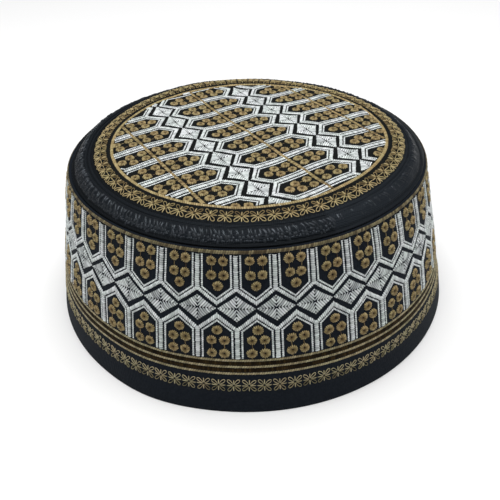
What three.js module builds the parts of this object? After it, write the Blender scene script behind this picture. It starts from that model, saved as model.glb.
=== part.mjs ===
// Round embroidered cap: a flat crown panel, a padded shoulder roll and a tapered side wall.
// Millimetres, +Z up, origin at the middle of the bottom edge.
import * as THREE from 'three';

// Shared sizes
const FACETS = 72;
const GAP = 0.3;
const CLOTH = 2.2;

// Side wall: a cone that narrows towards the top
const BOTTOM_RADIUS = 95.0;
const TAPER = 0.2237;
const WALL_BOW = 0.7;
const BOW_SPAN = 70.0;
const WALL_TOP = 68.8;
const OUTER_HEIGHTS = [15, 25, 35, 45, 55, 63, 66.5];
const INNER_HEIGHTS = [60, 48, 36, 25];
const EDGE_ROUND = 0.45;
const HEM_HEIGHT = 15.0;
const HEM_FOLD = 0.8;
const HEM_STEP = 1.2;

// Shoulder roll: outer surface, from the crown's edge out to the top of the wall
const SHOULDER_SECTIONS = [
  { radius: 68.70, height: 73.35 },
  { radius: 69.40, height: 73.25 },
  { radius: 71.20, height: 72.50 },
  { radius: 71.90, height: 72.65 },
  { radius: 73.00, height: 72.70 },
  { radius: 74.20, height: 72.35 },
  { radius: 75.20, height: 71.75 },
  { radius: 76.10, height: 70.95 },
  { radius: 76.90, height: 70.35 },
  { radius: 77.90, height: 69.85 },
  { radius: 78.70, height: 69.30 },
];
const SHOULDER_FLANGE_RADIUS = 64.0;
const SHOULDER_FLANGE_THICKNESS = 1.5;

// Crown panel: upper surface, from the middle out to its edge
const CROWN_SECTIONS = [
  { radius: 0.0, height: 75.30 },
  { radius: 20.0, height: 75.25 },
  { radius: 40.0, height: 75.10 },
  { radius: 56.0, height: 74.90 },
  { radius: 61.0, height: 74.70 },
  { radius: 65.0, height: 74.30 },
  { radius: 67.6, height: 73.85 },
  { radius: 68.35, height: 73.45 },
];

// Outer radius of the wall at a given height
function wallRadius(height) {
  return BOTTOM_RADIUS - TAPER * height + WALL_BOW * Math.sin(Math.PI * height / BOW_SPAN);
}

// Height of the crown's upper surface at a given radius
function crownHeight(radius) {
  const rows = CROWN_SECTIONS;
  for (let i = 1; i < rows.length; i += 1) {
    if (radius <= rows[i].radius) {
      const share = (radius - rows[i - 1].radius) / (rows[i].radius - rows[i - 1].radius);
      return rows[i - 1].height + share * (rows[i].height - rows[i - 1].height);
    }
  }
  return rows[rows.length - 1].height;
}

// Turn a closed list of [radius, height] pairs about +Z
function turned(profile, name, colour, roughness) {
  const points = profile.map(([radius, height]) => new THREE.Vector2(radius, height));
  const geometry = new THREE.LatheGeometry(points, FACETS);
  geometry.rotateX(Math.PI / 2);
  const material = new THREE.MeshStandardMaterial({ color: colour, roughness, metalness: 0 });
  const mesh = new THREE.Mesh(geometry, material);
  mesh.name = name;
  return mesh;
}

// Wall cloth, with the turned-up hem inside the bottom edge
function sideWall() {
  const inner = (height, extra) => wallRadius(height) - CLOTH - extra;
  const profile = [
    [inner(0, HEM_FOLD) + EDGE_ROUND, 0],
    [wallRadius(0) - EDGE_ROUND, 0],
    [wallRadius(EDGE_ROUND), EDGE_ROUND],
  ];
  for (const height of OUTER_HEIGHTS) {
    profile.push([wallRadius(height), height]);
  }
  profile.push([wallRadius(WALL_TOP - EDGE_ROUND), WALL_TOP - EDGE_ROUND]);
  profile.push([wallRadius(WALL_TOP) - EDGE_ROUND, WALL_TOP]);
  profile.push([inner(WALL_TOP, 0), WALL_TOP]);
  for (const height of INNER_HEIGHTS) {
    profile.push([inner(height, 0), height]);
  }
  profile.push([inner(HEM_HEIGHT + HEM_STEP, 0), HEM_HEIGHT + HEM_STEP]);
  profile.push([inner(HEM_HEIGHT, HEM_FOLD), HEM_HEIGHT]);
  profile.push([inner(EDGE_ROUND, HEM_FOLD), EDGE_ROUND]);
  profile.push(profile[0]);
  return turned(profile, 'side_wall', 0x16191f, 0.9);
}

// Padded ring that sits on the wall, with a flange under the crown's edge
function shoulderRoll() {
  const first = SHOULDER_SECTIONS[0];
  const last = SHOULDER_SECTIONS[SHOULDER_SECTIONS.length - 1];
  const seat = WALL_TOP + GAP;
  const flangeTop = (radius) => crownHeight(radius) - CLOTH - GAP;
  const wallInner = wallRadius(WALL_TOP) - CLOTH;
  const flangeUnder = flangeTop(SHOULDER_FLANGE_RADIUS) - SHOULDER_FLANGE_THICKNESS;
  const profile = [
    [wallInner, seat],
    [last.radius - GAP, seat],
  ];
  for (const row of [...SHOULDER_SECTIONS].reverse()) {
    profile.push([row.radius, row.height]);
  }
  profile.push([first.radius, flangeTop(first.radius)]);
  profile.push([SHOULDER_FLANGE_RADIUS, flangeTop(SHOULDER_FLANGE_RADIUS)]);
  profile.push([SHOULDER_FLANGE_RADIUS, flangeUnder]);
  profile.push(profile[0]);
  return turned(profile, 'shoulder_roll', 0x1e2126, 0.6);
}

// Round top panel, closed on the axis above and below
function crownPanel() {
  const edge = CROWN_SECTIONS[CROWN_SECTIONS.length - 1].radius;
  const profile = [[0, crownHeight(0) - CLOTH]];
  for (const row of CROWN_SECTIONS.slice(1, -1)) {
    profile.push([row.radius, row.height - CLOTH]);
  }
  profile.push([edge, crownHeight(edge) - CLOTH]);
  for (const row of [...CROWN_SECTIONS].reverse()) {
    profile.push([row.radius, row.height]);
  }
  return turned(profile, 'crown_panel', 0x1a1a1c, 0.9);
}

const group = new THREE.Group();
group.name = 'embroidered_cap';
group.add(sideWall(), shoulderRoll(), crownPanel());

export default group;
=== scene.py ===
"""Looks of the embroidered cap: cloth, satin stitching, eyelets, flowers, floor, light and camera."""
import math

import bpy
import numpy as np
from mathutils import Matrix, Vector


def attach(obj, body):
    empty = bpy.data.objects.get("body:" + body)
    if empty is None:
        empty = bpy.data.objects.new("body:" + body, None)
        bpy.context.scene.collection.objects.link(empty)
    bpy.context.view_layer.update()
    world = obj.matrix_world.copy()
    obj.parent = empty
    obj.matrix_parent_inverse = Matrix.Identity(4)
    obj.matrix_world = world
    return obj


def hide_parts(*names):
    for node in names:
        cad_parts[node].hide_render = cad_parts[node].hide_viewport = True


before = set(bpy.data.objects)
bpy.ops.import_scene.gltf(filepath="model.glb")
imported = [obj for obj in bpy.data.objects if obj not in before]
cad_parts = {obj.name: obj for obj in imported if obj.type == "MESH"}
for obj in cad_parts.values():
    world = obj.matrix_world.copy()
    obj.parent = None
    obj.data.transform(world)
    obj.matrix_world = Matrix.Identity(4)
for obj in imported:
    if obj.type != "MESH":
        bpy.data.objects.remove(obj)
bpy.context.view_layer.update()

# Shapes are worked out in millimetres and scaled once, when a mesh is made
MM = 0.001
FULL_TURN = 2 * math.pi
SEED = 36
draw = np.random.default_rng(SEED)

# Cap body
BOTTOM_RADIUS = 95.0
TAPER = 0.2237
SLOPE = math.atan(TAPER)
SLANT = math.cos(SLOPE)
WALL_BOW = 0.7
BOW_SPAN = 70.0
WALL_TOP = 68.8
CLOTH = 2.2
EDGE_ROUND = 0.45
EDGE_CUT = 0.12
HEM_HEIGHT = 15.0
HEM_FOLD = 0.8
HEM_STEP = 1.2
INSIDE_START = 20.0
CAP_MIDDLE = np.array([0.0, 0.0, 30.0])
SHOULDER_SECTIONS = [
    {"radius": 68.70, "height": 73.35},
    {"radius": 69.40, "height": 73.25},
    {"radius": 71.20, "height": 72.50},
    {"radius": 71.90, "height": 72.65},
    {"radius": 73.00, "height": 72.70},
    {"radius": 74.20, "height": 72.35},
    {"radius": 75.20, "height": 71.75},
    {"radius": 76.10, "height": 70.95},
    {"radius": 76.90, "height": 70.35},
    {"radius": 77.90, "height": 69.85},
    {"radius": 78.70, "height": 69.30},
]
SHOULDER_UNDERSIDE = [
    {"radius": 78.40, "height": 69.10},
    {"radius": 77.30, "height": 69.10},
    {"radius": 64.00, "height": 70.40},
    {"radius": 64.00, "height": 71.90},
    {"radius": 68.70, "height": 71.00},
]
CROWN_SECTIONS = [
    {"radius": 0.0, "height": 75.30},
    {"radius": 20.0, "height": 75.25},
    {"radius": 40.0, "height": 75.10},
    {"radius": 56.0, "height": 74.90},
    {"radius": 61.0, "height": 74.70},
    {"radius": 65.0, "height": 74.30},
    {"radius": 67.6, "height": 73.85},
    {"radius": 68.35, "height": 73.45},
]

# How finely the cloth is divided
AROUND = 288
WALL_ROWS = 46
INSIDE_ROWS = 12
CROWN_ROWS = 40
CROWN_CENTRE = 0.01
CROWN_FIRST_ROW = 3.0
ROLL_POINTS = 110

# Embroidered band: one repeat is a diamond with a column above and below it
REPEATS = 36
PERIOD = 14.65
WALL_FIRST_TOUCH = math.radians(-59.16)
RIM_HEIGHT = 68.0
CHAIN_HEIGHT = 46.5
UPPER_SHARE = 0.97
STRIPE_HEIGHTS = (24.4, 21.55, 18.5)
RIB_HEIGHTS = (23.0, 20.05)
CROWN_RING_RADIUS = 61.0
CROWN_RING_ASIDE = 0.6
CROWN_RING_COVER = 0.6
CROWN_TURN = math.radians(-59.22)
CROWN_FIRST_TOUCH = -37.10
CROWN_REPEATS = range(-3, 9)
CROWN_CHAINS = [
    {"across": -67.32, "shift": 0.0},
    {"across": -21.62, "shift": 0.0},
    {"across": 24.08, "shift": -1.1},
    {"across": 69.78, "shift": -1.1},
]
CROWN_LINES = (-44.47, 1.23, 46.93)
CROWN_LINE_REACH = 64.0
CROWN_LINE_PITCH = 0.75
CROWN_LINE_WIDTH = 1.5
CROWN_LINE_LEAN = 0.6
CROWN_LINE_RISE = 0.4

# Distance between neighbouring stitches, and the fewest stitches in a band or points in a path
STITCH = 0.88
FEWEST = 3

# Half of a repeat, measured from the diamond's centre line towards the column's end
WALL_MOTIF = {
    "end": 21.45, "half": 0.84, "inner": 1.44, "outer": 2.14,
    "rise": 0.55, "leg_rise": 0.45, "diamond_tones": (0.25, 0.9),
}
# The crown's diamond tones are higher than the wall's in the same white thread: painted light, as the crown
# lies under the light above
CROWN_MOTIF = {
    "end": 22.1, "half": 0.86, "inner": 1.5, "outer": 2.2,
    "rise": 0.26, "leg_rise": 0.3, "diamond_tones": (0.4, 1.0),
}
HALVES = [
    {"side": 1, "fork": 7.15, "near": 1.25, "far": -0.4, "drift": 0.4},
    {"side": -1, "fork": 8.3, "near": 2.05, "far": 0.85, "drift": 0.2},
]
COLUMN_FOOT = 8.5
COLUMN_SKEW = 0.12
WEDGE_HALF = 0.1
WEDGE_GAP = 0.15
LEG_ROOT = 0.05
LEG_HALF = 0.9
LEG_FOOT = 8.55
LEG_TIP = 3.3
OUTLINE_RISE = 0.16
OUTLINE_FEET = (8.7, 9.05)
OUTLINE_TIPS = (3.85, 4.75)
DIAMOND_RISE = 0.36
DIAMOND_HALF_WIDTH = 7.1
DIAMOND_HALF_HEIGHT = 5.45
DIAMOND_SINK = 0.2
DIAMOND_CORNER = 0.25
DIAMOND_GAP = 0.2
DIAMOND_OVERLAP = 0.12
EYELET_ROWS = [
    {"along": 19.3, "across": (-2.3, 2.3)},
    {"along": 13.6, "across": (-2.3, 2.3)},
    {"along": 9.3, "across": (0.0,)},
]
EYELET_RADIUS = 1.95
EYELET_SIZES = (0.95, 1.04)
EYELET_HOLE = 0.34
EYELET_RISE = 0.6
EYELET_STITCHES = 15
EYELET_TURNS = (0, 6)
EYELET_STRAY = 0.1
LINKS = [{"low": 15.4, "high": 17.5}, {"low": 21.1, "high": 22.2}]
LINK_LEAN = 0.1
LINK_WIDTH = 0.3
LINK_RISE = 0.18
LINK_TONES = (0.0, 0.35)


class Sewing:
    """Gathers the grids of one piece: points in millimetres, quads and a tone for each point."""

    def __init__(self):
        self.points = []
        self.quads = []
        self.tones = []
        self.count = 0

    def add(self, grid, tone, closed=False):
        """Adds a grid of points, rows by columns by xyz, facing away from the cap's middle."""
        rows, columns = grid.shape[:2]
        index = np.arange(rows * columns).reshape(rows, columns) + self.count
        if closed:
            index = np.vstack([index, index[:1]])
        quads = np.stack([index[:-1, :-1], index[1:, :-1], index[1:, 1:], index[:-1, 1:]], -1)
        middle = columns // 2
        along = grid[1, middle] - grid[0, middle]
        across = grid[0, middle] - grid[0, middle - 1]
        outward = grid[0, middle] - CAP_MIDDLE
        if np.dot(np.cross(along, across), outward) < 0:
            quads = quads[..., ::-1]
        self.points.append(grid.reshape(-1, 3))
        self.quads.append(quads.reshape(-1, 4))
        self.tones.append(np.broadcast_to(tone, (rows, columns)).reshape(-1))
        self.count += rows * columns

    def piece(self, name, material, slot, replaced=None):
        """Makes the Blender object of everything gathered so far."""
        points = np.concatenate(self.points) * MM
        quads = np.concatenate(self.quads)
        mesh = bpy.data.meshes.new(name)
        mesh.vertices.add(len(points))
        mesh.vertices.foreach_set("co", points.ravel().astype(np.float32))
        mesh.loops.add(quads.size)
        mesh.loops.foreach_set("vertex_index", quads.ravel().astype(np.int32))
        mesh.polygons.add(len(quads))
        mesh.polygons.foreach_set("loop_start", np.arange(0, quads.size, 4, dtype=np.int32))
        mesh.polygons.foreach_set("use_smooth", np.ones(len(quads), dtype=bool))
        mesh.update(calc_edges=True)
        tone = mesh.attributes.new("tone", "FLOAT", "POINT")
        tone.data.foreach_set("value", np.concatenate(self.tones).astype(np.float32))
        mesh.validate()
        mesh.materials.append(material)
        item = bpy.data.objects.new(name, mesh)
        bpy.context.scene.collection.objects.link(item)
        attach(item, "root")
        if replaced:
            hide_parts(replaced)
        return item


# Curves that the soft shapes are made of

def ramp(value, start, span):
    """Rises from zero at the start to one a span further on; a negative span runs downwards."""
    return np.clip((value - start) / span, 0, 1)


def bell(away):
    """Smooth hill of height one and width one."""
    return np.exp(-0.5 * away ** 2)


def hill(angle, row):
    """Smooth hill of height one round the cap; the row's angle and width are in degrees."""
    away = np.mod(angle - math.radians(row["angle"]) + math.pi, FULL_TURN) - math.pi
    return bell(away / math.radians(row["width"]))


def hills(angle, rows):
    """Sum of hills round the cap, each as high as its row's size."""
    return sum(row["size"] * hill(angle, row) for row in rows)


def waves(x, y, rows):
    """Sum of waves that run over two coordinates."""
    return sum(row["size"] * np.sin(row["x"] * x + row["y"] * y + row["start"]) for row in rows)


# Surface of the wall

# Places where the soft wall stands out or in, in degrees and millimetres, between two heights
SWELLS = [
    {"angle": -27.0, "width": 9.0, "out": 0.7, "low": -20.0, "high": 55.0},
    {"angle": -28.0, "width": 9.0, "out": 0.3, "low": -20.0, "high": 6.0},
    {"angle": 38.0, "width": 13.0, "out": 0.75, "low": 8.0, "high": 60.0},
    {"angle": 88.0, "width": 18.0, "out": -1.1, "low": 8.0, "high": 66.0},
    {"angle": -70.0, "width": 14.0, "out": -0.45, "low": -20.0, "high": 38.0},
    {"angle": -76.0, "width": 18.0, "out": 0.5, "low": 48.0, "high": 66.0},
    {"angle": 140.0, "width": 20.0, "out": 0.5, "low": 8.0, "high": 60.0},
    {"angle": -135.0, "width": 25.0, "out": 0.5, "low": 8.0, "high": 64.0},
]
SWELL_FADE = 10.0
# The cap is pulled up a little at the right of its front
WALL_PULL = {"angle": 50.0, "width": 19.0, "size": 0.9}
# Places where the embroidery is pulled aside, in degrees and millimetres, and how far its top leans there
STRAYS = [
    {"angle": 50.0, "width": 19.0, "aside": -1.9, "lean": 0.0},
    {"angle": -31.0, "width": 14.0, "aside": 0.85, "lean": 0.0},
    {"angle": -49.0, "width": 11.0, "aside": 0.0, "lean": -1.2},
]
LEAN_SPAN = 15.0
FLOWER_STRAY = 0.6


def swell(angle, height):
    """How far the soft wall stands out from its even outline."""
    total = 0.0 * (angle + height)
    for row in SWELLS:
        above = ramp(height, row["low"], SWELL_FADE)
        below = ramp(height, row["high"] + SWELL_FADE, -SWELL_FADE)
        total = total + row["out"] * above * below * hill(angle, row)
    return total


def wall_at(angle, height, lift):
    """Point on the wall: angle from the front, height of the bare cloth, lift along its outward normal."""
    bow = WALL_BOW * np.sin(math.pi * height / BOW_SPAN)
    radius = BOTTOM_RADIUS - TAPER * height + bow + lift * SLANT + swell(angle, height)
    pulled = WALL_PULL["size"] * height / WALL_TOP * hill(angle, WALL_PULL)
    rise = height + pulled + lift * math.sin(SLOPE)
    return np.stack([radius * np.sin(angle), -radius * np.cos(angle), rise + 0 * angle], -1)


def stray(angle, along):
    """Turn by which the embroidery strays from its even spacing round the wall."""
    total = 0.0 * (angle + along)
    for row in STRAYS:
        aside = row["aside"] + row["lean"] * along / LEAN_SPAN
        total = total + aside * hill(angle, row)
    return total / PERIOD * FULL_TURN / REPEATS


def wall_band(across, along, lift):
    """Places the band motif on the wall: across from a column, along up from the diamonds."""
    angle = WALL_FIRST_TOUCH + (across / PERIOD + 0.5) * FULL_TURN / REPEATS
    share = np.where(along > 0, UPPER_SHARE, 1.0)
    return wall_at(angle + stray(angle, along), CHAIN_HEIGHT + along * share * SLANT, lift)


# Surface of the crown

# The top is pulled up at its right, next to the roll's plain part, and dips before its raised back edge
CROWN_RAISE = {"angle": 52.0, "width": 22.0, "size": 1.9}
CROWN_DIP = {"angle": -165.0, "width": 40.0, "size": 1.0}
CROWN_LIP = {"angle": -163.0, "width": 28.0, "size": 2.5}
RAISE_START = 25.0
RAISE_SPAN = 35.0
LIP_START = 56.0
LIP_SPAN = 12.0
ROLL_OUTSIDE = 79.0
RAISE_FADE = 10.0
PUCKERS = [
    {"size": 0.16, "x": 0.21, "y": 0.13, "start": 0.0},
    {"size": 0.12, "x": -0.29, "y": 0.17, "start": 1.0},
]
PUCKER_END = 66.0
PUCKER_FADE = 8.0
# Places where the crown's pattern is pulled to the front or the back, and its spread from side to side
CROWN_STRAYS = [
    {"x": -15.5, "y": 23.0, "reach": 15.0, "pull": -4.0},
    {"x": -28.5, "y": 28.0, "reach": 20.5, "pull": 3.1},
    {"x": 36.0, "y": 6.0, "reach": 17.5, "pull": 2.4},
]
CROWN_SPREAD = 0.989


def profile(rows):
    """Radii and heights of an outline's rows."""
    return [row["radius"] for row in rows], [row["height"] for row in rows]


def raised(angle, radius):
    """How far the crown and the roll stand above their even outline."""
    inner = ramp(radius, RAISE_START, RAISE_SPAN)
    outer = ramp(radius, ROLL_OUTSIDE, -RAISE_FADE)
    lip = ramp(radius, LIP_START, LIP_SPAN)
    right = CROWN_RAISE["size"] * inner * hill(angle, CROWN_RAISE)
    right_edge = WALL_PULL["size"] * hill(angle, WALL_PULL)
    dip = CROWN_DIP["size"] * inner * hill(angle, CROWN_DIP)
    edge = CROWN_LIP["size"] * lip * hill(angle, CROWN_LIP)
    return outer * (right + edge - dip) + (1 - outer) * right_edge


def crown_at(x, y, lift):
    """Point on the crown, which puckers a little under its stitching."""
    radius = np.hypot(x, y)
    pucker = waves(x, y, PUCKERS)
    fade = ramp(radius, PUCKER_END, -PUCKER_FADE)
    rise = np.interp(radius, *profile(CROWN_SECTIONS)) + raised(np.arctan2(x, -y), radius)
    return np.stack([x, y, rise + fade * pucker + lift], -1)


def crown_spot(across, along):
    """Where a point of the band motif lies on the crown: turned to the diagonal and pulled out of true."""
    x = across * math.cos(CROWN_TURN) - along * math.sin(CROWN_TURN)
    y = across * math.sin(CROWN_TURN) + along * math.cos(CROWN_TURN)
    pulled = 0.0 * x
    for row in CROWN_STRAYS:
        away = np.hypot(x - row["x"], y - row["y"]) / row["reach"]
        pulled = pulled + row["pull"] * bell(away)
    return CROWN_SPREAD * x, y + pulled


def crown_band(across, along, lift):
    """Places the band motif on the crown."""
    x, y = crown_spot(across, along)
    return crown_at(x, y, lift)


def crown_ring(across, along, lift):
    """Places a ring of stitching on the crown: across is an angle, along is a radius."""
    return crown_at(CROWN_RING_ASIDE + along * np.sin(across), -along * np.cos(across), lift)


# Stitches

# How a stitch is shaped: places along it, height and tone there, and how its neighbours meet; the darker tone
# at a stitch's ends and in the groove between neighbours is painted shade
PLAIN = {
    "along": (0.0, 0.1, 0.5, 0.9, 1.0),
    "arch": (-0.1, 0.72, 1.0, 0.72, -0.1),
    "fade": (1.0, 1.0, 1.0, 1.0, 1.0),
    "groove": 0.45,
    "groove_shade": 0.35,
    "ridge": (0.45, 0.45),
    "notch": (0.08, 0.08),
    "spread": (0.8, 1.2),
    "ragged": 0.1,
    "tones": (0.45, 1.0),
    "heights": (0.9, 1.08),
}
SLIM = {**PLAIN, "along": (0.0, 0.5, 1.0), "arch": (-0.05, 1.0, -0.05), "fade": (1.0, 1.0, 1.0)}
# The column's fade darkens its stitch ends: painted shade where they dive into the cloth beside the gaps
COLUMN = {
    **PLAIN,
    "fade": (0.35, 1.0, 1.0, 1.0, 0.35),
    "groove_shade": 0.4,
    "notch": (0.3, 0.3),
    "ragged": 0.16,
    "tones": (0.4, 0.95),
}
LEG = {**PLAIN, "groove": 0.4, "groove_shade": 0.25, "notch": (0.35, 0.35), "ragged": 0.14}
OUTLINE = {**SLIM, "notch": (0.24, 0.08), "ragged": 0.06}
DIAMOND = {
    **SLIM,
    "groove": 0.3,
    "groove_shade": 0.15,
    "ridge": (0.45, 0.15),
    "notch": (0.2, 1.1),
    "spread": (0.7, 2.0),
}
# The spokes' fade darkens them towards the hole: painted shade where they dip into it
SPOKE = {
    **PLAIN,
    "along": (0.0, 0.14, 0.5, 0.86, 1.0),
    "arch": (-0.15, 0.45, 1.0, 0.8, -0.1),
    "fade": (0.0, 0.25, 0.72, 1.0, 0.9),
    "groove": 0.4,
    "groove_shade": 0.1,
    "notch": (0.0, 0.5),
    "ragged": 0.25,
    "tones": (0.4, 1.0),
}
LINE = {**SLIM, "groove": 0.45, "groove_shade": 0.3, "ragged": 0.1}
RIM_LINE = {**LINE, "tones": (0.0, 0.45)}
STRIPE_LINE = {**LINE, "tones": (0.35, 1.0)}
RING_LINE = {**LINE, "tones": (0.4, 0.95)}
RIB_LINE = {**SLIM, "tones": (0.1, 1.0)}
CROWN_LINE = {**SLIM, "groove": 0.5, "groove_shade": 0.3, "ragged": 0.15, "tones": (0.1, 0.8)}
# How far a ragged stitch falls short or runs over, and how much of a stitch a notch may take
RAGGED_RANGE = (-0.4, 1.0)
LONGEST_NOTCH = 0.38
# Cross-section of a single strand, in widths and heights, and how its ends go into the cloth
STRAND_SIDES = np.array([-0.5, -0.3, 0.3, 0.5])
STRAND_LIFTS = np.array([-0.05, 1.0, 1.0, -0.05])
STRAND_RISE = 2.0
STRAND_SINK = 0.06
# Added to lengths that are divided by, so that none is zero
TINY_REACH = 1e-6
TINY_STEP = 1e-9


def satin(sewing, place, starts, ends, height, style, turn=None):
    """Sews a ribbed band: a rounded ridge for each stitch and a groove between neighbours, with painted shade
    in the grooves and, where the style darkens them, at the stitch ends.

    A band with a turn is closed: its last stitch meets its first, whose across value is raised by the turn.
    """
    count = len(starts)
    if count < FEWEST:
        return
    reach = np.linalg.norm(ends - starts, axis=1)[:, None] + TINY_REACH
    direction = (ends - starts) / reach
    early = starts - direction * draw.uniform(*RAGGED_RANGE, (count, 1)) * style["ragged"]
    late = ends + direction * draw.uniform(*RAGGED_RANGE, (count, 1)) * style["ragged"]
    high = height * draw.uniform(*style["heights"], count)
    tone = draw.uniform(*style["tones"], count)
    wrapped = np.zeros((count, 2))
    wrapped[-1, 0] = turn or 0.0
    spread = draw.uniform(*style["spread"], (count, 1))
    short_start, short_end = (np.minimum(notch * spread, LONGEST_NOTCH * reach) for notch in style["notch"])
    first_step = 0.5 * (np.roll(starts, -1, 0) + wrapped - starts)
    last_step = 0.5 * (np.roll(ends, -1, 0) + wrapped - ends)
    if turn is None:
        first_step[-1], last_step[-1] = first_step[-2], last_step[-2]
    wide_start, wide_end = style["ridge"]
    first = np.stack([early - wide_start * np.roll(first_step, 1, 0), early + wide_start * first_step,
                      starts + first_step + short_start * direction], 1).reshape(-1, 2)
    last = np.stack([late - wide_end * np.roll(last_step, 1, 0), late + wide_end * last_step,
                     ends + last_step - short_end * direction], 1).reshape(-1, 2)
    lift = np.stack([high, high, style["groove"] * high], 1).reshape(-1)
    shade = np.stack([tone, tone, style["groove_shade"] * tone], 1).reshape(-1)
    if turn is None:
        first, last, lift, shade = first[:-1], last[:-1], lift[:-1], shade[:-1]
    steps = np.array(style["along"])
    flat = first[:, None, :] + (last - first)[:, None, :] * steps[None, :, None]
    grid = place(flat[..., 0], flat[..., 1], lift[:, None] * np.array(style["arch"]))
    sewing.add(grid, shade[:, None] * np.array(style["fade"]), turn is not None)


def thread(sewing, place, path, width, height, tone):
    """Lays one strand along a path of across and along values, its ends drawn into the cloth."""
    run = np.gradient(path, axis=0)
    run /= np.linalg.norm(run, axis=1)[:, None] + TINY_STEP
    side = np.stack([-run[:, 1], run[:, 0]], 1)
    offsets = STRAND_SIDES * width
    lifts = STRAND_LIFTS * height
    bow = np.minimum(1.0, STRAND_RISE * np.sin(np.linspace(0, math.pi, len(path))))[:, None]
    flat = path[:, None, :] + side[:, None, :] * offsets[None, :, None]
    tall = bow * lifts - (1.0 - bow) * STRAND_SINK
    sewing.add(place(flat[..., 0], flat[..., 1], tall), tone)


def between(first, last, pitch=STITCH):
    """Evenly spaced points from first to last, about one stitch apart."""
    first, last = np.asarray(first, float), np.asarray(last, float)
    count = max(FEWEST, int(round(np.linalg.norm(last - first) / pitch)) + 1)
    share = np.linspace(0, 1, count)[:, None]
    return first + (last - first) * share


def matched(edge, partner):
    """Two edges of a band, each a pair of end points, cut into the same number of stitches."""
    one = between(*edge)
    share = np.linspace(0, 1, len(one))[:, None]
    first, last = np.asarray(partner[0], float), np.asarray(partner[1], float)
    return one, first + (last - first) * share


def inside_runs(starts, ends, keep):
    """Splits a band into the runs of stitches whose middles are kept."""
    kept = keep(0.5 * (starts + ends))
    edges = np.flatnonzero(np.diff(np.concatenate([[0], kept.astype(int), [0]])))
    return [(starts[a:b], ends[a:b]) for a, b in zip(edges[::2], edges[1::2])]


# Band motif

def column_bands(half_motif, motif):
    """White bands of half a repeat: the thick column, its two legs and the thin outline on each side."""
    tip = PERIOD / 2
    fork, near, far = (half_motif[key] for key in ("fork", "near", "far"))
    end, half, inner, outer = (motif[key] for key in ("end", "half", "inner", "outer"))
    left_foot, right_foot = COLUMN_FOOT + far, COLUMN_FOOT - COLUMN_SKEW + far
    inner_foot, outer_foot = (height + far for height in OUTLINE_FEET)
    inner_tip, outer_tip = (height + far for height in OUTLINE_TIPS)
    thick = matched(((-half, end), (-half, left_foot)), ((half, end - COLUMN_SKEW), (half, right_foot)))
    wedge = matched(((-half, left_foot), (-WEDGE_HALF, fork + WEDGE_GAP)),
                    ((half, right_foot), (WEDGE_HALF, fork + WEDGE_GAP)))
    bands = [(*thick, motif["rise"], COLUMN), (*wedge, motif["leg_rise"], LEG)]
    for side in (-1, 1):
        leg = matched(((side * LEG_ROOT, fork), (side * tip, near)),
                      ((side * LEG_HALF, LEG_FOOT + far), (side * tip, LEG_TIP + far)))
        upright = matched(((side * inner, end), (side * inner, inner_foot)),
                          ((side * outer, end), (side * outer, outer_foot)))
        slope = matched(((side * inner, inner_foot), (side * tip, inner_tip)),
                        ((side * outer, outer_foot), (side * tip, outer_tip)))
        bands.append((*leg, motif["leg_rise"], LEG))
        bands += [(*line, OUTLINE_RISE, OUTLINE) for line in (upright, slope)]
    return bands


def diamond_bands():
    """Four quarters of a diamond: stitches run square from each side to the nearer diagonal."""
    wide, tall = DIAMOND_HALF_WIDTH, DIAMOND_HALF_HEIGHT
    normal = np.array([tall, wide]) / math.hypot(tall, wide)
    edge = between((wide - DIAMOND_CORNER, DIAMOND_GAP), (DIAMOND_GAP, tall - DIAMOND_GAP))
    reach = np.minimum(edge[:, 0] / normal[0], edge[:, 1] / normal[1])
    inner = edge - normal * (reach + DIAMOND_OVERLAP)[:, None]
    return [(edge * flip, inner * flip) for flip in ((1, 1), (-1, 1), (-1, -1), (1, -1))]


def eyelet(sewing, place, spot):
    """One round eyelet of spokes that dip into a small hole, turned by a random angle in radians."""
    angle = np.linspace(0, FULL_TURN, EYELET_STITCHES, endpoint=False) + draw.uniform(*EYELET_TURNS)
    spoke = np.stack([np.cos(angle), np.sin(angle)], 1)
    centre = spot + draw.normal(0, EYELET_STRAY, 2)
    hole = centre + draw.normal(0, EYELET_STRAY, 2)
    size = EYELET_RADIUS * draw.uniform(*EYELET_SIZES)
    inner, outer = hole + spoke * EYELET_HOLE, centre + spoke * size
    satin(sewing, place, inner, outer, EYELET_RISE, SPOKE, turn=0.0)


def eyelet_cluster(sewing, place, cell, half, keep):
    """Five eyelets in one half of a cell, with the short strands that link them."""
    centre, middle = cell
    side, drift = half["side"], half["drift"]
    for row in EYELET_ROWS:
        for offset in row["across"]:
            spot = np.array([centre + offset + drift, middle + side * row["along"]])
            if keep(spot[None])[0]:
                eyelet(sewing, place, spot)
    for offset in EYELET_ROWS[0]["across"]:
        for link in LINKS:
            x = centre + offset + drift + draw.normal(0, EYELET_STRAY)
            ends = np.array([[x, middle + side * link["low"]], [x + LINK_LEAN, middle + side * link["high"]]])
            if keep(ends).all():
                thread(sewing, place, between(*ends), LINK_WIDTH, LINK_RISE, draw.uniform(*LINK_TONES))


def sew_repeat(parts, place, centre, middle, motif, keep):
    """One full repeat: columns, legs, diamond and the eyelets of the cell to its right."""
    home = np.array([centre, middle])
    cell = (centre + PERIOD / 2, middle)
    for half in HALVES:
        turn = np.array([1, half["side"]])
        for starts, ends, height, style in column_bands(half, motif):
            for first, last in inside_runs(starts * turn + home, ends * turn + home, keep):
                satin(parts["columns"], place, first, last, height, style)
        eyelet_cluster(parts["eyelets"], place, cell, half, keep)
    heart = home - [0.0, DIAMOND_SINK]
    style = {**DIAMOND, "tones": motif["diamond_tones"]}
    for starts, ends in diamond_bands():
        for first, last in inside_runs(starts + heart, ends + heart, keep):
            satin(parts["diamonds"], place, first, last, DIAMOND_RISE, style)


def everywhere(points):
    """The wall's band is not cut off anywhere."""
    return np.ones(len(points), dtype=bool)


def within_ring(points):
    """The crown's bands stop under its gold ring."""
    x, y = crown_spot(points[:, 0], points[:, 1])
    return np.hypot(x - CROWN_RING_ASIDE, y) < CROWN_RING_RADIUS - CROWN_RING_COVER


# Rings of gold

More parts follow.
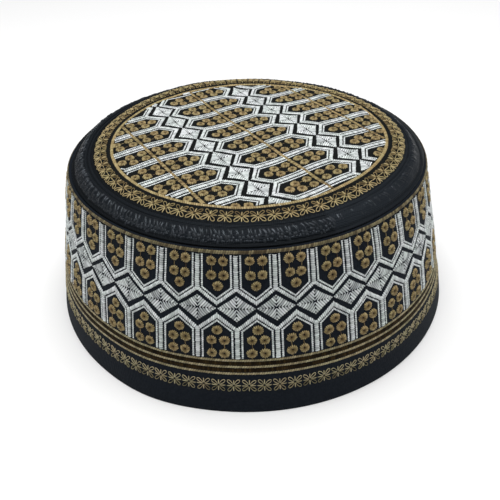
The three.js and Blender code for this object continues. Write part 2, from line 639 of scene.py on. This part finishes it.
RIM = {"style": RIM_LINE, "width": 1.3, "rise": 0.5, "stitches": 560, "slant": 0.006}
STRIPE = {"style": STRIPE_LINE, "width": 0.95, "rise": 0.4, "stitches": 600, "slant": 0.005}
RIB = {"style": RIB_LINE, "width": 1.65, "rise": 0.16, "stitches": 600, "slant": 0.0}
CROWN_RING = {"style": RING_LINE, "width": 1.35, "rise": 0.5, "stitches": 420, "slant": 0.006}


def ring_band(sewing, place, centre, ring):
    """A closed satin line round the cap, its stitches across the line."""
    count, half = ring["stitches"], ring["width"] / 2
    angle = np.linspace(0, FULL_TURN, count, endpoint=False)
    starts = np.stack([angle, np.full(count, centre - half)], 1)
    ends = np.stack([angle + ring["slant"], np.full(count, centre + half)], 1)
    satin(sewing, place, starts, ends, ring["rise"], ring["style"], FULL_TURN)


# Flowers

FLOWER_HEIGHT = 13.0
CROWN_FLOWER_RADIUS = 66.1
WALL_FLOWERS = {
    "count": 96, "first": math.radians(-1.55), "scale": 1.0, "bold": 1.0,
    "centre": FLOWER_HEIGHT, "radius": BOTTOM_RADIUS - TAPER * FLOWER_HEIGHT,
}
CROWN_FLOWERS = {
    "count": 70, "shift": 0.38, "scale": 1.04, "bold": 0.95,
    "centre": CROWN_FLOWER_RADIUS, "radius": CROWN_FLOWER_RADIUS,
}
# The strokes at 90 and 270 degrees get higher tones than those at 0 and 180: a painted highlight, as the
# light glints on them
FLOWER_STROKES = [
    {"heading": 90, "reach": 2.6, "width": 0.4, "tones": (0.8, 1.0)},
    {"heading": 270, "reach": 2.6, "width": 0.4, "tones": (0.8, 1.0)},
    {"heading": 0, "reach": 2.85, "width": 0.3, "tones": (0.55, 1.0)},
    {"heading": 180, "reach": 2.85, "width": 0.3, "tones": (0.55, 1.0)},
]
STROKE_PITCH = 0.6
PETALS = [
    {"heading": 46, "reach": 3.5, "tones": (0.75, 1.0)},
    {"heading": 134, "reach": 3.5, "tones": (0.75, 1.0)},
    {"heading": 226, "reach": 3.4, "tones": (0.2, 0.55)},
    {"heading": 314, "reach": 3.4, "tones": (0.2, 0.55)},
]
PETAL_HALF = 0.82
PETAL_WIDTH = 0.2
PETAL_POINTS = 11
PETAL_ROOT = 0.3
PETAL_SWAY = 3
FLOWER_HEART = 0.35
FLOWER_FADE = 0.75
FLOWER_DARKEST = 0.55
FLOWER_JITTER = 0.05
STRAND_HEIGHT = 0.28


def flower(sewing, place, angle, kind):
    """Eight-petalled flower on a ring: four straight strokes and four looped petals between them."""
    def on_ring(across, along, lift):
        return place(angle + across / kind["radius"], kind["centre"] + along, lift)

    def sew(path, width, tones):
        shifted = path * kind["scale"] + draw.normal(0, FLOWER_JITTER, 2)
        near_heart = np.clip(np.hypot(*path.T) / FLOWER_FADE, FLOWER_DARKEST, 1.0)
        tone = (draw.uniform(*tones) * near_heart)[:, None]
        thread(sewing, on_ring, shifted, width * kind["bold"], STRAND_HEIGHT, tone)

    for row in FLOWER_STROKES:
        aim = math.radians(row["heading"])
        way = np.array([math.cos(aim), math.sin(aim)])
        sew(between(way * FLOWER_HEART, way * row["reach"], STROKE_PITCH), row["width"], row["tones"])
    turn = np.linspace(0, FULL_TURN, PETAL_POINTS)
    for row in PETALS:
        out = FLOWER_HEART + (row["reach"] - FLOWER_HEART) * (1 - np.cos(turn)) / 2
        wide = PETAL_HALF * np.sin(turn) * (PETAL_ROOT + (1 - PETAL_ROOT) * out / row["reach"])
        aim = math.radians(row["heading"] + draw.normal(0, PETAL_SWAY))
        petal = np.stack([out * math.cos(aim) - wide * math.sin(aim),
                          out * math.sin(aim) + wide * math.cos(aim)], 1)
        sew(petal, PETAL_WIDTH, row["tones"])


# Shoulder roll

# The roll's plain part, beyond its overlapping seam: angles in radians, then its tone and height
SEAM_ANGLE = math.radians(22.5)
SEAM_STEP = 0.02
SEAM_LEAN = 0.006
SEAM_CENTRE = 72.0
PLAIN_END = math.radians(125.0)
PLAIN_FADE = 0.25
PLAIN_TONE = 0.4
PLAIN_RISE = 0.22
PLAIN_SINK = 0.07
PLAIN_CALM = 0.8
# Grooves and quilting over the roll; their tones paint shade into the seams, between the quilting rows and
# over the outer strip
INNER_SEAM = {"radius": 69.3, "width": 0.35, "depth": 0.35}
OUTER_SEAM = {"radius": 77.6, "width": 0.45, "depth": 0.5}
SEAM_SHADE = 0.8
QUILTING = (69.6, 72.9)
QUILT_PITCH = 1.65
QUILT_RISE = 0.3
QUILT_GROOVE_SHADE = 0.3
ROLL_TONE = 0.5
STRIP_SHADE_TONE = 0.1
STRIP_OVERLAP = 0.4
UNDERSIDE_TONE = 0.3
SMOOTHING = 7
# Where the roll's crest rises and falls, and how it is creased, uneven and drawn in
CREST_START = 69.0
CREST_END = 79.0
CREST_SPAN = 3.0
CREASES = [
    {"size": 0.16, "x": 31.0, "y": 0.6, "start": 0.0},
    {"size": 0.1, "x": 67.0, "y": -0.9, "start": 0.0},
]
ROLL_WAVES = [
    {"size": 0.14, "x": 5.0, "y": 0.0, "start": 1.0},
    {"size": 0.1, "x": 13.0, "y": 0.0, "start": 0.0},
]
ROLL_UNEVEN = [
    {"angle": 155.0, "width": 25.0, "size": -0.5},
    {"angle": -135.0, "width": 15.0, "size": -0.35},
    {"angle": -110.0, "width": 14.0, "size": 0.9},
]
ROLL_DRAWN_IN = [
    {"angle": 99.0, "width": 23.0, "size": 2.2},
    {"angle": -97.0, "width": 15.0, "size": 0.6},
]
DRAWN_START = 70.0
DRAWN_SPAN = 6.0


def groove(radius, row):
    """One in the middle of a groove round the roll, fading to zero beside it."""
    return bell((radius - row["radius"]) / row["width"])


def shoulder_profile():
    """Radii, heights and tones over the roll: an inner seam, rows of quilting and an outer strip made dark by
    painted shade; painted shade also darkens the seams and the furrows between quilting rows.
    """
    radii, heights = profile(SHOULDER_SECTIONS)
    fine = np.linspace(radii[0], radii[-1], ROLL_POINTS)
    height = np.interp(fine, radii, heights)
    margin = SMOOTHING // 2
    padded = np.concatenate([np.full(margin, height[0]), height, np.full(margin, height[-1])])
    smooth = np.convolve(padded, np.ones(SMOOTHING) / SMOOTHING, "valid")
    quilted = (fine > QUILTING[0]) & (fine < QUILTING[1])
    rows = np.where(quilted, np.abs(np.sin((fine - QUILTING[0]) / QUILT_PITCH * math.pi)), 1.0)
    inner, outer = groove(fine, INNER_SEAM), groove(fine, OUTER_SEAM)
    tone = np.where(fine > OUTER_SEAM["radius"] - STRIP_OVERLAP, STRIP_SHADE_TONE, ROLL_TONE)
    tone = tone * (QUILT_GROOVE_SHADE + (1 - QUILT_GROOVE_SHADE) * rows) * (1 - SEAM_SHADE * inner) * (1 - SEAM_SHADE * outer)
    return fine, smooth + QUILT_RISE * rows - INNER_SEAM["depth"] * inner - OUTER_SEAM["depth"] * outer, tone


SHOULDER_RADII, SHOULDER_HEIGHTS, SHOULDER_TONES = shoulder_profile()


def plain_part(angle):
    """One where the roll is plain, beyond its overlapping seam, and zero where it is stitched."""
    turn = np.mod(angle + math.pi, FULL_TURN) - math.pi
    return ramp(turn, SEAM_ANGLE, SEAM_STEP) * ramp(turn, PLAIN_END, -PLAIN_FADE)


def shoulder_at(angle, radius, lift):
    """Point on the roll: its outline, the step at the seam, soft creases and an uneven height and edge."""
    plain = plain_part(angle + (radius - SEAM_CENTRE) * SEAM_LEAN)
    crest = ramp(radius, CREST_START, CREST_SPAN) * ramp(radius, CREST_END, -CREST_SPAN)
    creases = waves(angle, radius, CREASES)
    uneven = waves(angle, radius, ROLL_WAVES) + hills(angle, ROLL_UNEVEN)
    height = np.interp(radius, SHOULDER_RADII, SHOULDER_HEIGHTS)
    rise = height + crest * (plain * (PLAIN_RISE + creases) + uneven) + raised(angle, radius) + lift
    out = radius - hills(angle, ROLL_DRAWN_IN) * ramp(radius, DRAWN_START, DRAWN_SPAN)
    return np.stack([out * np.sin(angle), -out * np.cos(angle), rise], -1)


def shoulder_cloth():
    """Smooth shell of the roll, closed underneath."""
    sewing = Sewing()
    angle = np.linspace(0, FULL_TURN, AROUND, endpoint=False)
    top = shoulder_at(angle[:, None], SHOULDER_RADII[None, :], 0.0)
    rings = []
    for row in SHOULDER_UNDERSIDE:
        radius, height = row["radius"], np.full(AROUND, row["height"])
        rings.append(np.stack([radius * np.sin(angle), -radius * np.cos(angle), height], -1))
    grid = np.concatenate([top, np.stack(rings, 1), top[:, :1]], 1)
    tone = np.concatenate([SHOULDER_TONES, np.full(len(rings), UNDERSIDE_TONE), SHOULDER_TONES[:1]])
    plain = PLAIN_TONE * plain_part(angle)[:, None]
    sewing.add(grid, np.clip(tone[None, :] + plain, 0, 1), closed=True)
    return sewing


ROLL_RADIUS = 74.0
ROLL_ROWS = [
    {"ends": (72.8, 75.5), "count": 310, "lean": 1.4, "width": 1.0, "height": 0.6, "tones": (0.3, 1.0)},
    {"ends": (75.2, 76.4), "count": 310, "lean": 0.8, "width": 1.0, "height": 0.3, "tones": (0.0, 0.6)},
    {"ends": (76.4, 77.1), "count": 560, "lean": 0.1, "width": 0.75, "height": 0.3, "tones": (0.1, 0.9)},
]
ROLL_SPACING = (-0.3, 0.3)
ROLL_JITTER = 0.25
ROLL_LEANS = (-0.2, 1.7)
ROLL_HEIGHTS = (0.2, 1.2)
ROLL_PITCH = 0.5
BACK_CALM = {"angle": -175.0, "width": 50.0, "size": 0.75}


def shoulder_stitching():
    """Glossy stitches that lean over the roll's crest in two rows, and its corded edge."""
    sewing = Sewing()

    def on_roll(across, along, lift):
        turn = across / ROLL_RADIUS
        calm = np.maximum(PLAIN_CALM * plain_part(turn), hills(turn, [BACK_CALM]))
        return shoulder_at(turn, along, lift * (1.0 - calm) - PLAIN_SINK * plain_part(turn))

    for row in ROLL_ROWS:
        step = FULL_TURN * ROLL_RADIUS / row["count"]
        for index in range(row["count"]):
            across = step * (index + draw.uniform(*ROLL_SPACING))
            inner, outer = np.array(row["ends"]) + draw.normal(0, ROLL_JITTER, 2)
            leaning = across + row["lean"] * draw.uniform(*ROLL_LEANS)
            path = between((across, inner), (leaning, outer), ROLL_PITCH)
            height = row["height"] * draw.uniform(*ROLL_HEIGHTS)
            thread(sewing, on_roll, path, row["width"], height, draw.uniform(*row["tones"]))
    return sewing


# Cloth of the wall and crown

# Tone of the plain cloth, whose colour doesn't follow it
EVEN_TONE = 0.5


def wall_cloth():
    """Outer face, rounded hem edge, turned-up hem and plain inside of the wall."""
    sewing = Sewing()
    hem = -CLOTH - HEM_FOLD
    rows = [(WALL_TOP, -EDGE_ROUND)]
    rows += [(height, 0.0) for height in np.linspace(WALL_TOP - EDGE_ROUND, EDGE_ROUND, WALL_ROWS)]
    rows += [(EDGE_CUT, -EDGE_CUT), (0.0, -EDGE_ROUND), (0.0, hem + EDGE_ROUND)]
    rows += [(EDGE_ROUND, hem), (HEM_HEIGHT, hem), (HEM_HEIGHT + HEM_STEP, -CLOTH)]
    rows += [(height, -CLOTH) for height in np.linspace(INSIDE_START, WALL_TOP, INSIDE_ROWS)]
    rows += [rows[0]]
    angle = np.linspace(0, FULL_TURN, AROUND, endpoint=False)[:, None]
    height = np.array([row[0] for row in rows])[None, :]
    depth = np.array([row[1] for row in rows])[None, :]
    grid = wall_at(angle, height, 0.0 * angle)
    out = np.concatenate([np.sin(angle), -np.cos(angle)], 1)
    grid[..., :2] += out[:, None, :] * depth[..., None]
    sewing.add(grid, EVEN_TONE, closed=True)
    return sewing


def crown_cloth():
    """Upper face, edge and underside of the crown panel."""
    sewing = Sewing()
    edge = CROWN_SECTIONS[-1]["radius"]
    radii = np.concatenate([[CROWN_CENTRE], np.linspace(CROWN_FIRST_ROW, edge, CROWN_ROWS)])
    angle = np.linspace(0, FULL_TURN, AROUND, endpoint=False)[:, None]
    x = radii[None, :] * np.sin(angle)
    y = -radii[None, :] * np.cos(angle)
    top = crown_at(x, y, 0.0)
    under = top[:, ::-1].copy()
    under[..., 2] -= CLOTH
    sewing.add(np.concatenate([top, under], 1), EVEN_TONE, closed=True)
    return sewing


# Materials

# Colours of cloth where it is dark and light
NAVY_COLOURS = ((0.006, 0.0082, 0.012), (0.0105, 0.0135, 0.0185))
BLACK_COLOURS = ((0.005, 0.0055, 0.0055), (0.009, 0.01, 0.0095))
PAPER_COLOURS = ((0.86, 0.86, 0.86), (0.88, 0.88, 0.88))
# Colours of each thread at its darkest, which paints the shade of a groove, on a dull stitch and on a bright
# one, and the tints it drifts between
GOLD_COLOURS = ((0.055, 0.029, 0.008), (0.275, 0.207, 0.09), (0.48, 0.395, 0.205))
PALE_GOLD_COLOURS = ((0.05, 0.034, 0.014), (0.25, 0.215, 0.118), (0.42, 0.37, 0.23))
GOLD_TINTS = ((1.03, 0.975, 0.95), (0.98, 1.0, 0.95))
WHITE_COLOURS = ((0.03, 0.034, 0.037), (0.5, 0.53, 0.53), (0.84, 0.87, 0.87))
WHITE_TINTS = ((1.0, 0.99, 1.0), (0.97, 1.0, 0.97))
BROWN_COLOURS = ((0.004, 0.0025, 0.0006), (0.015, 0.0088, 0.002), (0.036, 0.0215, 0.005))
JET_COLOURS = ((0.002, 0.0025, 0.0035), (0.006, 0.0075, 0.0095), (0.016, 0.019, 0.023))
JET_TINTS = ((1.0, 0.95, 1.0), (0.95, 1.0, 0.97))
# The roll's colours by tone: the darkest paints the shade of its seams, quilting furrows and outer strip
ROLL_COLOURS = ((0.002, 0.0028, 0.0036), (0.0065, 0.0084, 0.0108), (0.012, 0.015, 0.019))
# Tones at which the three colours of a thread or of the roll lie
TONE_STOPS = (0.0, 0.45, 1.0)
# Shine: roughness, or that of dull and bright stitches, sheen and specular level
NAVY_SHINE = {"roughness": 0.85, "sheen": 0.02, "specular": 0.08}
BLACK_SHINE = {"roughness": 0.9, "sheen": 0.02, "specular": 0.06}
ROLL_SHINE = {"roughness": 0.5, "sheen": 0.02, "specular": 0.07}
PAPER_SHINE = {"roughness": 0.9, "sheen": 0.0, "specular": 0.1}
GOLD_SHINE = {"roughness": (0.6, 0.45), "sheen": 0.04, "specular": 0.25}
WHITE_SHINE = {"roughness": (0.6, 0.4), "sheen": 0.04, "specular": 0.25}
BROWN_SHINE = {"roughness": (0.8, 0.65), "sheen": 0.04, "specular": 0.05}
JET_SHINE = {"roughness": (0.55, 0.2), "sheen": 0.04, "specular": 0.34}
SHEEN_ROUGHNESS = 0.4
SPECULAR_TINT = (0.8, 0.9, 1.0, 1.0)
# Noise, in cycles per metre, with the places on its range where the two colours lie
MOTTLE = {"scale": 900.0, "detail": 5.0, "stops": (0.35, 0.75)}
DRIFT = {"scale": 130.0, "detail": 1.0, "stops": (0.35, 0.65)}
PAPER_GRAIN = {"scale": 3.0, "detail": 2.0, "stops": (0.3, 0.7)}
# Fine relief, with depth and pitch in metres
FIBRES = {"scale": 5000.0, "detail": 3.0, "strength": 0.25, "depth": 0.0002}
WEAVE = {"pitch": 0.0007, "strength": 0.35, "depth": 0.0002, "distortion": 1.5, "detail": 1.0}
# Length of one rib of Blender's wave texture at a scale of one
WAVE_LENGTH = 0.31
# Sockets of Blender's mix node that carry colours
MIX_FIRST = 6
MIX_SECOND = 7
MIX_RESULT = 2


def node_material(name, colour, roughness, shine):
    """A shader with its constants set, and handles for the nodes added to it."""
    material = bpy.data.materials.new(name)
    material.use_nodes = True
    shader = material.node_tree.nodes["Principled BSDF"]
    shader.inputs["Base Color"].default_value = (*colour, 1.0)
    shader.inputs["Roughness"].default_value = roughness
    shader.inputs["Sheen Weight"].default_value = shine["sheen"]
    shader.inputs["Sheen Roughness"].default_value = SHEEN_ROUGHNESS
    shader.inputs["Specular IOR Level"].default_value = shine["specular"]
    shader.inputs["Specular Tint"].default_value = SPECULAR_TINT
    return material, material.node_tree.nodes, material.node_tree.links, shader


def add_bump(nodes, links, shader, height, relief):
    """Feeds a height into the shader's normal."""
    bump = nodes.new("ShaderNodeBump")
    bump.inputs["Strength"].default_value = relief["strength"]
    bump.inputs["Distance"].default_value = relief["depth"]
    links.new(height, bump.inputs["Height"])
    links.new(bump.outputs["Normal"], shader.inputs["Normal"])


def noise(nodes, links, kind):
    """Noise in the object's own space."""
    place = nodes.new("ShaderNodeTexCoord")
    texture = nodes.new("ShaderNodeTexNoise")
    texture.inputs["Scale"].default_value = kind["scale"]
    texture.inputs["Detail"].default_value = kind["detail"]
    links.new(place.outputs["Object"], texture.inputs["Vector"])
    return texture.outputs["Fac"]


def colour_ramp(nodes, links, factor, stops, colours):
    """Colours along a factor."""
    blend = nodes.new("ShaderNodeValToRGB")
    while len(blend.color_ramp.elements) < len(stops):
        blend.color_ramp.elements.new(0.5)
    for element, position, colour in zip(blend.color_ramp.elements, stops, colours):
        element.position = position
        element.color = (*colour, 1.0)
    links.new(factor, blend.inputs["Fac"])
    return blend.outputs["Color"]


def noise_colour(nodes, links, kind, colours):
    """Colour that drifts between two shades with a noise."""
    return colour_ramp(nodes, links, noise(nodes, links, kind), kind["stops"], colours)


def weave_height(nodes, links):
    """Fine crossed ribs of cloth, in the object's own space."""
    place = nodes.new("ShaderNodeTexCoord")
    ribs = []
    for direction in ("X", "Y", "Z"):
        wave = nodes.new("ShaderNodeTexWave")
        wave.bands_direction = direction
        wave.inputs["Scale"].default_value = WAVE_LENGTH / WEAVE["pitch"]
        wave.inputs["Distortion"].default_value = WEAVE["distortion"]
        wave.inputs["Detail"].default_value = WEAVE["detail"]
        links.new(place.outputs["Object"], wave.inputs["Vector"])
        ribs.append(wave.outputs["Fac"])
    total = ribs[0]
    for other in ribs[1:]:
        mix = nodes.new("ShaderNodeMath")
        mix.operation = "ADD"
        links.new(total, mix.inputs[0])
        links.new(other, mix.inputs[1])
        total = mix.outputs[0]
    return total


def tone_value(nodes):
    """The tone that each point of a piece carries."""
    tone = nodes.new("ShaderNodeAttribute")
    tone.attribute_name = "tone"
    return tone.outputs["Fac"]


def tinted(nodes, links, colour, tints):
    """Colour multiplied by a tint that drifts between two shades over about a centimetre."""
    mix = nodes.new("ShaderNodeMix")
    mix.data_type = "RGBA"
    mix.blend_type = "MULTIPLY"
    mix.inputs["Factor"].default_value = 1.0
    links.new(colour, mix.inputs[MIX_FIRST])
    links.new(noise_colour(nodes, links, DRIFT, tints), mix.inputs[MIX_SECOND])
    return mix.outputs[MIX_RESULT]


def gloss_by_tone(nodes, links, shader, dull, bright):
    """Gives dull and bright stitches a roughness of their own."""
    spread = nodes.new("ShaderNodeMapRange")
    spread.inputs["To Min"].default_value = dull
    spread.inputs["To Max"].default_value = bright
    links.new(tone_value(nodes), spread.inputs["Value"])
    links.new(spread.outputs["Result"], shader.inputs["Roughness"])


def cloth_material(name, colours, shine):
    """Matt cloth: faint mottling and a fine weave."""
    material, nodes, links, shader = node_material(name, colours[0], shine["roughness"], shine)
    links.new(noise_colour(nodes, links, MOTTLE, colours), shader.inputs["Base Color"])
    add_bump(nodes, links, shader, weave_height(nodes, links), WEAVE)
    return material


def thread_material(name, colours, tints, shine):
    """Satin thread: each stitch its own tone and gloss, a drifting tint and fine fibres; its low tones also
    paint the shade of grooves and stitch ends.
    """
    material, nodes, links, shader = node_material(name, colours[1], shine["roughness"][0], shine)
    gloss_by_tone(nodes, links, shader, *shine["roughness"])
    toned = colour_ramp(nodes, links, tone_value(nodes), TONE_STOPS, colours)
    links.new(tinted(nodes, links, toned, tints), shader.inputs["Base Color"])
    add_bump(nodes, links, shader, noise(nodes, links, FIBRES), FIBRES)
    return material


def quilted_material(name, colours, shine):
    """Glossy cloth whose tone paints shade in its seams, between its rows of quilting and over its outer
    strip.
    """
    material, nodes, links, shader = node_material(name, colours[1], shine["roughness"], shine)
    toned = colour_ramp(nodes, links, tone_value(nodes), TONE_STOPS, colours)
    links.new(toned, shader.inputs["Base Color"])
    add_bump(nodes, links, shader, weave_height(nodes, links), WEAVE)
    return material


def paper_material(name, colours, shine):
    """Pale paper sweep."""
    material, nodes, links, shader = node_material(name, colours[0], shine["roughness"], shine)
    links.new(noise_colour(nodes, links, PAPER_GRAIN, colours), shader.inputs["Base Color"])
    return material


# Assembly

def band_parts():
    """Empty sewing for the columns, diamonds and eyelets of one surface."""
    return {key: Sewing() for key in ("columns", "diamonds", "eyelets")}


def band_pieces(parts, surface, gold, white):
    """Columns, diamonds and eyelets as pieces named after their surface."""
    for key in ("columns", "diamonds"):
        parts[key].piece(f"{surface}_{key}", white, "white_thread")
    parts["eyelets"].piece(f"{surface}_eyelets", gold, "gold_thread")


def sew_wall(gold, pale_gold, white, brown):
    """Every stitched piece of the side wall."""
    parts = band_parts()
    for repeat in range(REPEATS):
        sew_repeat(parts, wall_band, repeat * PERIOD, 0.0, WALL_MOTIF, everywhere)
    band_pieces(parts, "wall", gold, white)

    lines = Sewing()
    ring_band(lines, wall_at, RIM_HEIGHT, RIM)
    for height in STRIPE_HEIGHTS:
        ring_band(lines, wall_at, height, STRIPE)
    lines.piece("wall_gold_lines", pale_gold, "gold_thread")

    ribs = Sewing()
    for height in RIB_HEIGHTS:
        ring_band(ribs, wall_at, height, RIB)
    ribs.piece("wall_brown_ribs", brown, "gold_thread")

    flowers = Sewing()
    for index in range(WALL_FLOWERS["count"]):
        turn = WALL_FLOWERS["first"] + FULL_TURN * index / WALL_FLOWERS["count"]
        turn += FLOWER_STRAY * stray(turn, -LEAN_SPAN)
        flower(flowers, wall_at, turn, WALL_FLOWERS)
    flowers.piece("wall_flowers", pale_gold, "gold_thread")


def sew_crown(gold, white):
    """Every stitched piece of the crown."""
    parts = band_parts()
    for chain in CROWN_CHAINS:
        for repeat in CROWN_REPEATS:
            centre = CROWN_FIRST_TOUCH + chain["shift"] + (repeat + 0.5) * PERIOD
            sew_repeat(parts, crown_band, centre, chain["across"], CROWN_MOTIF, within_ring)
    band_pieces(parts, "crown", gold, white)

    lines = Sewing()
    ring_band(lines, crown_ring, CROWN_RING_RADIUS, CROWN_RING)
    for along in CROWN_LINES:
        start = along - CROWN_LINE_WIDTH / 2
        row = between((-CROWN_LINE_REACH, start), (CROWN_LINE_REACH, start), CROWN_LINE_PITCH)
        for starts, ends in inside_runs(row, row + [CROWN_LINE_LEAN, CROWN_LINE_WIDTH], within_ring):
            satin(lines, crown_band, starts, ends, CROWN_LINE_RISE, CROWN_LINE)
    lines.piece("crown_gold_lines", gold, "gold_thread")

    flowers = Sewing()
    for index in range(CROWN_FLOWERS["count"]):
        turn = FULL_TURN * (index + CROWN_FLOWERS["shift"]) / CROWN_FLOWERS["count"]
        flower(flowers, crown_ring, turn, CROWN_FLOWERS)
    flowers.piece("crown_flowers", gold, "gold_thread")


def build_cap():
    """All pieces with their materials."""
    navy = cloth_material("navy_black_cloth", NAVY_COLOURS, NAVY_SHINE)
    black = cloth_material("black_ground_cloth", BLACK_COLOURS, BLACK_SHINE)
    roll = quilted_material("black_roll_cloth", ROLL_COLOURS, ROLL_SHINE)
    gold = thread_material("gold_thread", GOLD_COLOURS, GOLD_TINTS, GOLD_SHINE)
    pale_gold = thread_material("pale_gold_thread", PALE_GOLD_COLOURS, GOLD_TINTS, GOLD_SHINE)
    white = thread_material("white_thread", WHITE_COLOURS, WHITE_TINTS, WHITE_SHINE)
    brown = thread_material("brown_thread", BROWN_COLOURS, GOLD_TINTS, BROWN_SHINE)
    jet = thread_material("black_thread", JET_COLOURS, JET_TINTS, JET_SHINE)
    wall_cloth().piece("wall_body", navy, "wall_cloth", "side_wall")
    crown_cloth().piece("crown_body", black, "crown_cloth", "crown_panel")
    padded_roll = shoulder_cloth().piece("shoulder_body", roll, "shoulder_cloth", "shoulder_roll")
    shoulder_stitching().piece("shoulder_stitches", jet, "shoulder_cloth")
    sew_wall(gold, pale_gold, white, brown)
    sew_crown(gold, white)


# Floor, light and camera, in metres unless a comment says otherwise

FLOOR_HALF = 3.0
WORLD_STRENGTH = 0.14
OVERHEAD = {"place": (0.0, 0.05, 1.6), "aim": (0, 0, 0), "size": 1.4, "power": 33.5}
SIDE_LIGHT = {"aim": (0, 0, 0.04), "size": 0.7, "power": 2.3}
SIDE_LIGHT_PLACES = ((-1.1, -0.25, 0.45), (1.1, -0.25, 0.45))
CAMERA_NEAR = 0.01
CAMERA_FAR = 20.0
# Fitted to the photograph: distance and aim in millimetres, focal length and picture in pixels
CAMERA_DISTANCE = 311.2
CAMERA_AIM = (-0.47, 0.0, 10.27)
CAMERA_FOCUS = 605.5
PICTURE = 500.0
CAMERA_RISE = math.radians(36.39)
CAMERA_ROLL = math.radians(-1.84)


def build_floor():
    """Floor that the cap rests on."""
    half = FLOOR_HALF
    mesh = bpy.data.meshes.new("floor")
    corners = [(-half, -half, 0), (half, -half, 0), (half, half, 0), (-half, half, 0)]
    mesh.from_pydata(corners, [], [(0, 1, 2, 3)])
    mesh.materials.append(paper_material("paper_sweep", PAPER_COLOURS, PAPER_SHINE))
    floor = bpy.data.objects.new("floor", mesh)
    bpy.context.scene.collection.objects.link(floor)


def area_light(name, place, aim, size, power):
    """Soft square light aimed at a point."""
    light = bpy.data.lights.new(name, "AREA")
    light.size = size
    light.energy = power
    item = bpy.data.objects.new(name, light)
    item.location = place
    item.rotation_mode = "QUATERNION"
    item.rotation_quaternion = (Vector(aim) - Vector(place)).to_track_quat("-Z", "Y")
    bpy.context.scene.collection.objects.link(item)


def build_light():
    """Pale surroundings, one wide soft light above and a weaker one on each side."""
    world = bpy.data.worlds.new("studio")
    world.use_nodes = True
    back = world.node_tree.nodes["Background"]
    back.inputs["Color"].default_value = (1.0, 1.0, 1.0, 1.0)
    back.inputs["Strength"].default_value = WORLD_STRENGTH
    bpy.context.scene.world = world
    bpy.context.scene.view_settings.view_transform = "Standard"
    area_light("overhead", **OVERHEAD)
    for place in SIDE_LIGHT_PLACES:
        area_light("side", place, **SIDE_LIGHT)


def build_camera():
    """Camera at the photograph's angle, distance and roll."""
    data = bpy.data.cameras.new("camera")
    data.lens = CAMERA_FOCUS / PICTURE * data.sensor_width
    data.clip_start = CAMERA_NEAR
    data.clip_end = CAMERA_FAR
    camera = bpy.data.objects.new("camera", data)
    back = Vector((0.0, -math.cos(CAMERA_RISE), math.sin(CAMERA_RISE)))
    right = Vector((1.0, 0.0, 0.0))
    up = back.cross(right)
    rolled_right = math.cos(CAMERA_ROLL) * right + math.sin(CAMERA_ROLL) * up
    rolled_up = -math.sin(CAMERA_ROLL) * right + math.cos(CAMERA_ROLL) * up
    place = (Vector(CAMERA_AIM) + CAMERA_DISTANCE * back) * MM
    turn = Matrix((rolled_right, rolled_up, back)).transposed().to_4x4()
    camera.matrix_world = Matrix.Translation(place) @ turn
    bpy.context.scene.collection.objects.link(camera)
    bpy.context.scene.camera = camera


build_cap()
build_floor()
build_light()
build_camera()
bpy.context.view_layer.update()
